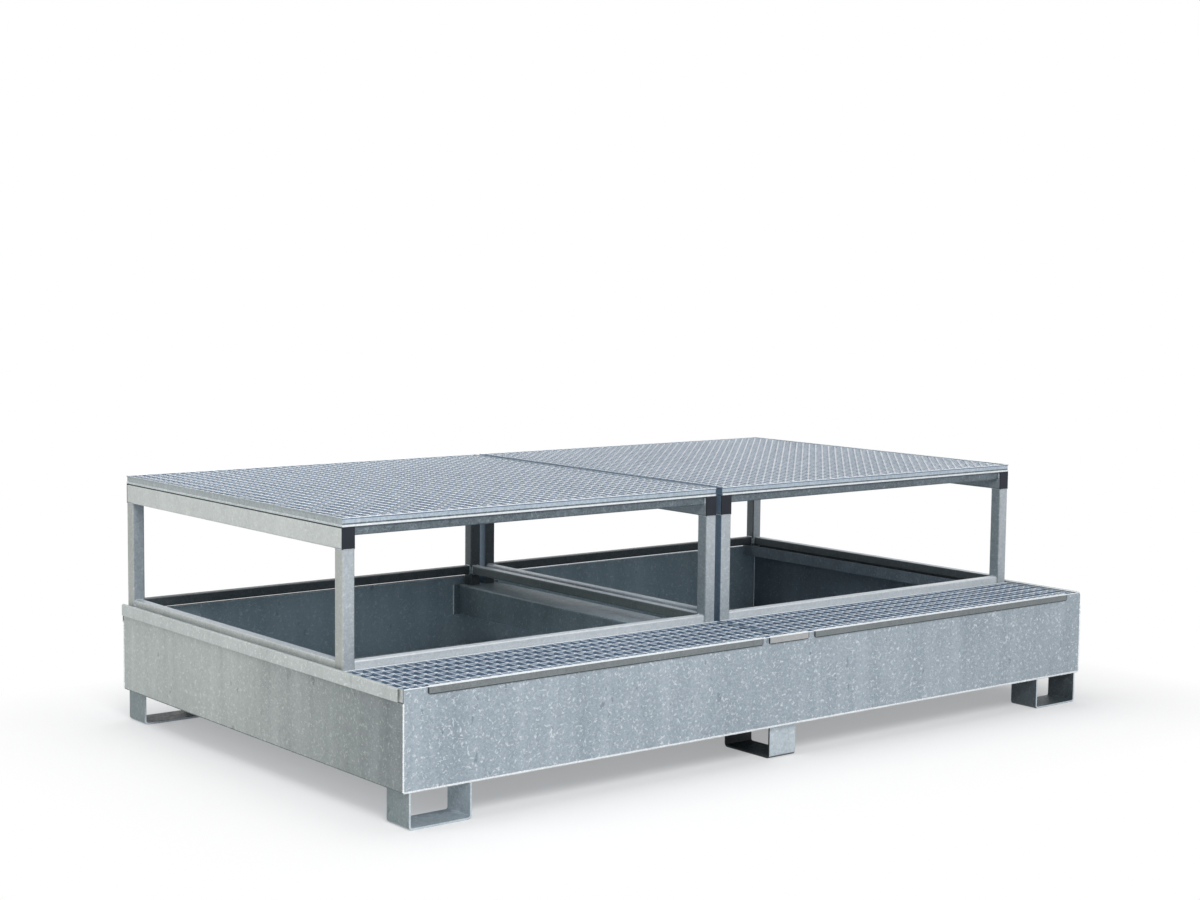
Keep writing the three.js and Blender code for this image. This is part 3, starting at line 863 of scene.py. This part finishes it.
def cap_plastic():
    """Black moulded plastic with a fine grain and a weak gloss."""
    material = bpy.data.materials.new("cap_plastic")
    material.use_nodes = True
    tree = material.node_tree
    shader = tree.nodes["Principled BSDF"]
    shader.inputs["Specular IOR Level"].default_value = CAP_SPECULAR
    place = add_node(tree, "ShaderNodeTexCoord").outputs["Object"]
    clouds = noise(tree, place, CAP_CLOUD_SCALE)
    grain = noise(tree, place, CAP_GRAIN_SCALE)
    colour = mixed(tree, clouds, linear(CAP_DARK), linear(CAP_LIGHT))
    tree.links.new(colour, shader.inputs["Base Color"])
    tree.links.new(ranged(tree, grain, GLOSS_RANGE, CAP_GLOSS), shader.inputs["Roughness"])
    inputs = {"Height": grain, "Strength": BUMP_STRENGTH, "Distance": BUMP_DISTANCE}
    bump = add_node(tree, "ShaderNodeBump", inputs)
    tree.links.new(bump.outputs["Normal"], shader.inputs["Normal"])
    return material


def dress(start, material):
    """Gives a material to the CAD nodes whose names start so, and softens their edges."""
    for name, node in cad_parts.items():
        if not name.startswith(start):
            continue
        node.material_slots[0].material = material
        weld = node.modifiers.new("weld", "WELD")
        weld.merge_threshold = SAME_POINT
        bevel = node.modifiers.new("soft_edges", "BEVEL")
        bevel.width = EDGE_WIDTH
        bevel.segments = EDGE_STEPS
        bevel.limit_method = "ANGLE"
        bevel.angle_limit = EDGE_ANGLE
        flat = node.modifiers.new("flat_faces", "WEIGHTED_NORMAL")
        flat.weight = FLAT_WEIGHT


class Shape:
    """Points and faces gathered for one mesh, all of them swept from rings of points."""

    def __init__(self):
        self.points = []
        self.faces = []

    def sweep(self, rings, closed=False):
        """Skin over a row of rings with equally many points, joined end to end or capped."""
        start = len(self.points)
        sides = len(rings[0])
        for ring in rings:
            self.points.extend(tuple(point) for point in ring)
        links = len(rings) if closed else len(rings) - 1
        for link in range(links):
            here = start + link * sides
            there = start + (link + 1) % len(rings) * sides
            for side in range(sides):
                after = (side + 1) % sides
                self.faces.append((here + side, here + after, there + after, there + side))
        if not closed:
            last = start + (len(rings) - 1) * sides
            self.faces.append(tuple(range(start, start + sides)))
            self.faces.append(tuple(range(last, last + sides)))

    def piece(self, name, material, body):
        """The finished object, riding on a CAD body."""
        mesh = bpy.data.meshes.new(name)
        mesh.from_pydata(self.points, [], self.faces)
        work = bmesh.new()
        work.from_mesh(mesh)
        bmesh.ops.recalc_face_normals(work, faces=work.faces)
        work.to_mesh(mesh)
        work.free()
        mesh.materials.append(material)
        made = bpy.data.objects.new(name, mesh)
        scene.collection.objects.link(made)
        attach(made, body)
        return made


def octagon(width, height, chamfer):
    """Rectangle round the origin with its corners cut off."""
    right, top = width / 2, height / 2
    return [
        (right, -top + chamfer),
        (right, top - chamfer),
        (right - chamfer, top),
        (-right + chamfer, top),
        (-right, top - chamfer),
        (-right, -top + chamfer),
        (-right + chamfer, -top),
        (right - chamfer, -top),
    ]


def add_bar(shape, along, start, end, across, level, section):
    """Straight bar along X (0) or Y (1), whose section goes across and up."""
    rings = []
    for reach in (start, end):
        if along == 0:
            rings.append([(reach, across + u, level + v) for u, v in section])
        else:
            rings.append([(across + u, reach, level + v) for u, v in section])
    shape.sweep(rings)


def add_rim(shape, low, high):
    """Edge frame of a grating: a flat bar with a lip along its top and bottom, mitred at the corners."""
    tall = high.z - low.z
    halves = []
    for inset, step in ((0.0, 1), (RIM_THICKNESS, -1)):
        recess = inset + step * RIM_RECESS
        chamfer = inset + step * RIM_CHAMFER
        halves.append([
            (chamfer, 0.0),
            (inset, RIM_CHAMFER),
            (inset, RIM_BOTTOM_LIP - RIM_CHAMFER),
            (recess, RIM_BOTTOM_LIP),
            (recess, tall - RIM_TOP_LIP),
            (inset, tall - RIM_TOP_LIP + RIM_CHAMFER),
            (inset, tall - RIM_CHAMFER),
            (chamfer, tall),
        ])
    section = halves[0] + halves[1][::-1]
    rings = []
    for right, back in ((0, 0), (1, 0), (1, 1), (0, 1)):
        rings.append([
            (
                high.x - inset if right else low.x + inset,
                high.y - inset if back else low.y + inset,
                low.z + rise,
            )
            for inset, rise in section
        ])
    shape.sweep(rings, closed=True)


def bar_places(start, end, pitch):
    """Places of the bars between two edges, as near to the pitch as fits evenly."""
    cells = round((end - start) / pitch)
    return [start + (end - start) * cell / cells for cell in range(1, cells)]


def add_knot(shape, x, y, bottom, top):
    """Zinc that fills the corners where two bars cross."""
    rings = []
    for level in (bottom, top):
        rings.append([
            (x + KNOT_REACH, y, level),
            (x, y + KNOT_REACH, level),
            (x - KNOT_REACH, y, level),
            (x, y - KNOT_REACH, level),
        ])
    shape.sweep(rings)


def make_grating(name, node, body, along, cross_pitch, bands):
    """Pressed grating in place of its CAD node: its main bars run along X (0) or Y (1)."""
    low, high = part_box(node)
    material = zinc(f"zinc_{name}", GRATING_ZINC, bands)
    crossing = 1 - along
    half_rim = RIM_THICKNESS / 2
    mains = bar_places(low[crossing], high[crossing], MAIN_PITCH)
    crosses = bar_places(low[along], high[along], cross_pitch)
    main_top = high.z - BAR_DROP
    cross_top = high.z - CROSS_BAR_DROP
    cross_bottom = cross_top - CROSS_BAR_HEIGHT
    main_height = main_top - low.z - BAR_DROP
    main_section = octagon(BAR_THICKNESS, main_height, BAR_CHAMFER)
    cross_section = octagon(CROSS_BAR_THICKNESS, CROSS_BAR_HEIGHT, BAR_CHAMFER)
    shape = Shape()
    add_rim(shape, low, high)
    for across in mains:
        start, end = low[along] + half_rim, high[along] - half_rim
        add_bar(shape, along, start, end, across, main_top - main_height / 2, main_section)
    for across in crosses:
        start, end = low[crossing] + half_rim, high[crossing] - half_rim
        level = (cross_top + cross_bottom) / 2
        add_bar(shape, crossing, start, end, across, level, cross_section)
    for main in mains:
        for cross in crosses:
            x, y = (cross, main) if along == 0 else (main, cross)
            add_knot(shape, x, y, cross_bottom, high.z - KNOT_DROP)
    made = shape.piece(name, material, body)
    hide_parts(node)


def make_gratings():
    """A deck grating on each stand, and a front grating on each side of the tray's front."""
    for hand in HANDS:
        node = f"deck_grating_{hand}"
        bands = grating_bands(node, DECK_BRIGHT, DECK_CELL_SHADE_PATCH)
        make_grating(f"deck_bars_{hand}", node, f"deck_{hand}", 0, DECK_CROSS_PITCH, bands)
        node = f"front_grating_{hand}"
        bands = grating_bands(node, FRONT_BRIGHT, FRONT_CELL_SHADE_PATCH)
        make_grating(f"front_bars_{hand}", node, f"front_panel_{hand}", 1, FRONT_CROSS_PITCH, bands)


def add_bead(shape, points, radius):
    """Rippled weld bead along a line of points: it is a little uneven, and thinner at its ends."""
    points = [Vector(point) for point in points]
    middles = []
    for start, end in zip(points, points[1:]):
        steps = max(1, round((end - start).length / BEAD_STEP))
        middles += [start.lerp(end, step / steps) for step in range(steps)]
    middles.append(points[-1])
    rings = []
    last = len(middles) - 1
    for index, middle in enumerate(middles):
        ahead = middles[min(index + 1, last)] - middles[max(index - 1, 0)]
        side = ahead.orthogonal().normalized()
        other = ahead.normalized().cross(side)
        size = radius * (1 + BEAD_RIPPLE * (index % 2 * 2 - 1))
        size *= 1 + BEAD_RIPPLE * chance.uniform(-1, 1)
        if index in (0, last):
            size *= BEAD_END_SHARE
        wander = Vector(chance.uniform(-BEAD_WANDER, BEAD_WANDER, 3))
        ring = []
        for corner in range(BEAD_SIDES):
            turn = math.tau * corner / BEAD_SIDES
            ring.append(middle + wander + (side * math.cos(turn) + other * math.sin(turn)) * size)
        rings.append(ring)
    shape.sweep(rings)


def end_loop(node, axis, end, open_top=False):
    """Points round the end of a tube node, on the plane of its end. An open loop leaves its top free."""
    low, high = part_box(node)
    first, second = [other for other in range(3) if other != axis]
    level = high[axis] if end > 0 else low[axis]
    left, right = low[first] + RING_CORNER, high[first] - RING_CORNER
    bottom = low[second] + RING_CORNER
    top = high[second] - (CRADLE_DROP if open_top else RING_CORNER)
    flat = [
        (low[first], top),
        (low[first], bottom),
        (left, low[second]),
        (right, low[second]),
        (high[first], bottom),
        (high[first], top),
    ]
    if not open_top:
        flat += [(right, high[second]), (left, high[second]), flat[0]]
    loop = []
    for across, up in flat:
        point = Vector((0, 0, 0))
        point[axis], point[first], point[second] = level, across, up
        loop.append(point)
    return loop


def make_stand_welds(material):
    """Weld beads round the tube ends of each stand."""
    for hand in HANDS:
        shape = Shape()
        stand = f"stand_{hand}"
        for place in (*PLACES, *ENDS):
            axis = 1 if place in PLACES else 0
            for end in (-1, 1):
                loop = end_loop(f"{stand}_lower_rail_{place}", axis, end)
                add_bead(shape, loop, FILLET_RADIUS)
        for place in ENDS:
            for end in (-1, 1):
                loop = end_loop(f"{stand}_top_rail_{place}", 0, end, open_top=True)
                add_bead(shape, loop, FILLET_RADIUS)
        for end in (-1, 1):
            loop = end_loop(f"{stand}_deck_bearer", 1, end, open_top=True)
            add_bead(shape, loop, FILLET_RADIUS)
        for row in ENDS:
            for place in PLACES:
                loop = end_loop(f"{stand}_leg_{row}_{place}", 2, 1)
                add_bead(shape, loop, THIN_RADIUS)
        shape.piece(f"{stand}_welds", material, stand)


def add_floor_seams(shape, ends, low, high, level):
    """Seams round the tray's floor. Those along the short walls go into a shape of their own."""
    left, right = low.x + SEAM_INSET, high.x - SEAM_INSET
    front, back = low.y + SEAM_INSET, high.y - SEAM_INSET
    corners = [(left, front, level), (right, front, level), (right, back, level), (left, back, level)]
    for seam, start in enumerate(corners):
        end = corners[(seam + 1) % len(corners)]
        target, radius = (ends, THIN_RADIUS) if seam % 2 else (shape, SEAM_RADIUS)
        add_bead(target, [start, end], radius)


def add_upright(shape, x, y, bottom, top, radius):
    """Straight bead from one level up to another."""
    add_bead(shape, [(x, y, bottom), (x, y, top)], radius)


def add_bracket_welds(shape, row, y):
    """Upright welds on both sides of one of the beam's end plates."""
    low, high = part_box(f"beam_bracket_{row}")
    for x in (low.x, high.x):
        add_upright(shape, x, y, low.z, high.z, FILLET_RADIUS)


def add_foot_welds(shape, row):
    """Welds along the upper edges of a row of feet."""
    for place in (*HANDS, "middle"):
        low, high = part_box(f"foot_{row}_{place}")
        top = high.z
        if place == "middle":
            sides = [[(low.x, y, top), (high.x, y, top)] for y in (low.y, high.y)]
        else:
            sides = [[(x, low.y, top), (x, high.y, top)] for x in (low.x, high.x)]
        for side in sides:
            add_bead(shape, side, FILLET_RADIUS)


def add_ledge_stitches(shape, inner_x):
    """Short welds between the ledges and the short walls."""
    for hand, x in zip(HANDS, (-inner_x, inner_x)):
        low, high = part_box(f"ledge_{hand}")
        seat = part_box("middle_beam")[1].z
        stitches = int((high.y - low.y) / STITCH_PITCH)
        for stitch in range(1, stitches + 1):
            start = low.y + stitch * STITCH_PITCH
            add_bead(shape, [(x, start - STITCH_LENGTH, seat), (x, start, seat)], FILLET_RADIUS)


def make_tray_welds(bright, shaded_seams):
    """Weld beads on the tray: the floor's end seams get painted shade, darker than the rest."""
    shape = Shape()
    ends = Shape()
    floor_low, floor_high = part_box("tray_floor")
    front_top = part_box("tray_wall_front")[1].z
    back_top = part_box("beam_bracket_back")[1].z
    level = (floor_low.z + floor_high.z) / 2
    add_floor_seams(shape, ends, floor_low, floor_high, level)
    for x in (floor_low.x, floor_high.x):
        add_upright(shape, x, floor_low.y, level, front_top - LIP_DROP, CORNER_RADIUS)
        add_upright(shape, x, floor_high.y, level, back_top, CORNER_RADIUS)

    inner_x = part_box("tray_wall_right")[0].x
    inner_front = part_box("tray_wall_front")[1].y
    inner_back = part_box("tray_wall_back")[0].y
    for x in (-inner_x, inner_x):
        add_upright(shape, x, inner_front, level, back_top, CORNER_RADIUS)
        add_upright(shape, x, inner_back, level, back_top, CORNER_RADIUS)

    for row, y in zip(ENDS, (inner_front, inner_back)):
        add_bracket_welds(shape, row, y)
        add_foot_welds(shape, row)
    add_ledge_stitches(shape, inner_x)
    shape.piece("tray_welds", bright, "tray")
    ends.piece("tray_end_seams", shaded_seams, "tray")


def make_wall_materials():
    """Materials of the tray's floor and walls."""
    # Painted shade on the right-hand wall's inside
    inner = [(inside_tray, INNER_PATCH), (inside_right, INNER_RIGHT_SHADE_PATCH)]
    # Painted light on the short walls' outsides, with painted shade towards their front
    ends = [(outside_ends, SIDE_LIGHT_PATCH), (outside_front, SIDE_FRONT_SHADE_PATCH)]
    # Painted light on the lips, and painted shade under them and in the slot at their front
    lips = [(on_lip, LIP_LIGHT_PATCH), (below_lip, SHADE_PATCH), (lip_slot, SHADE_PATCH)]
    # Painted highlight on the front wall's top edge, and painted shade on the back wall's rim
    rims = [(top_edge("tray_wall_front"), EDGE_HIGHLIGHT_PATCH), (back_rim, SHADE_PATCH)]
    dress("tray_", zinc("zinc_tray", TRAY_ZINC, inner + ends + rims + lips))


def make_seat_materials():
    """Materials of what carries the stands and the front gratings in the tray."""
    # Painted shade on the beam, with painted light on its top towards the front
    beam = [(everywhere, BEAM_SHADE_PATCH), (beam_front, INNER_PATCH)]
    dress("middle_beam", zinc("zinc_beam", TRAY_ZINC, beam))
    # Painted shade on the beam's end plates
    dress("beam_bracket", zinc("zinc_bracket", TRAY_ZINC, [(everywhere, BEAM_SHADE_PATCH)]))
    # Painted shade on the ledges
    dress("ledge", zinc("zinc_ledge", TRAY_ZINC, [(everywhere, INNER_RIGHT_SHADE_PATCH)]))
    seats = zinc("zinc_seat", TRAY_ZINC, [(everywhere, INNER_PATCH)])
    dress("front_ledge", seats)
    dress("front_bearer", seats)


def make_foot_materials():
    """Material of the feet, with painted shade on their outer, deep and inner faces, and painted light
    on their front faces.
    """
    feet = [
        (foot_outside, FOOT_SIDE_SHADE_PATCH),
        (foot_deep, FOOT_DEEP_SHADE_PATCH),
        (faces_front, FOOT_FACE_LIGHT_PATCH),
        (foot_dark, FOOT_DARK_SHADE_PATCH),
    ]
    dress("foot_", zinc("zinc_foot", FOOT_ZINC, feet))


def make_strip_materials():
    """Materials of the strips on the front wall's rim."""
    for place in (*HANDS, "middle"):
        node = f"front_strip_{place}"
        # Painted shadow round each strip's lower edge and ends, and a painted highlight along its top
        patches = [(outline(node), SHADE_PATCH), (top_edge(node, STRIP_EDGE), EDGE_HIGHLIGHT_PATCH)]
        if place == "middle":
            patches = [(everywhere, STRIP_LIGHT_PATCH), *patches]
        dress(node, zinc(f"zinc_{node}", STRIP_ZINC, patches))


def make_stand_materials():
    """Materials of the two stands, with light and shade painted on the faces of their tubes."""
    legs = [
        (faces_front, TUBE_BACK_SHADE_PATCH),
        (before_stands, TUBE_ZINC),
        (tube_ends, LEG_SIDE_SHADE_PATCH),
        (tube_inwards, TUBE_INNER_SHADE_PATCH),
        (back_inwards, TUBE_REAR_SHADE_PATCH),
        (back_middle, TUBE_REAR_SHADE_PATCH),
        (between_stands, BETWEEN_SHADE_PATCH),
    ]
    upper = [
        (tube_ends, RAIL_SIDE_LIGHT_PATCH),
        (tube_inwards, TUBE_INNER_SHADE_PATCH),
        (below_deck, SHADE_PATCH),
        (between_stands, BETWEEN_SHADE_PATCH),
    ]
    lower = [
        (lower_front, RAIL_FRONT_LIGHT_PATCH),
        (tube_ends, RAIL_SIDE_LIGHT_PATCH),
        (tube_inwards, TUBE_DEEP_SHADE_PATCH),
        (tube_back_inwards, TUBE_DEEP_SHADE_PATCH),
        (lower_back, TUBE_REAR_SHADE_PATCH),
        (lower_right, TUBE_REAR_SHADE_PATCH),
        (between_stands, BETWEEN_SHADE_PATCH),
    ]
    finishes = {
        "leg": zinc("zinc_leg", TUBE_ZINC, legs),
        "side_rail": zinc("zinc_side_rail", TUBE_ZINC, upper),
        # Painted shade all over the top cross rails and the deck bearers
        "top_rail": zinc("zinc_top_rail", TUBE_ZINC, [(everywhere, CROSS_SHADE_PATCH)]),
        "deck_bearer": zinc("zinc_bearer", TUBE_ZINC, [(everywhere, CROSS_SHADE_PATCH)]),
        "lower_rail": zinc("zinc_lower_rail", TUBE_ZINC, lower),
        "cap": cap_plastic(),
    }
    for hand in HANDS:
        for part, material in finishes.items():
            dress(f"stand_{hand}_{part}", material)


make_camera()
make_world()
make_floor()
make_lamps()
make_wall_materials()
make_seat_materials()
make_foot_materials()
make_strip_materials()
make_stand_materials()
make_gratings()
make_stand_welds(zinc("zinc_stand_weld", TUBE_ZINC))
# The floor's end seams get painted shade
shaded_seam_weld = zinc("zinc_end_seam", WELD_ZINC, [(everywhere, TUBE_DEEP_SHADE_PATCH)])
make_tray_welds(zinc("zinc_tray_weld", WELD_ZINC), shaded_seam_weld)
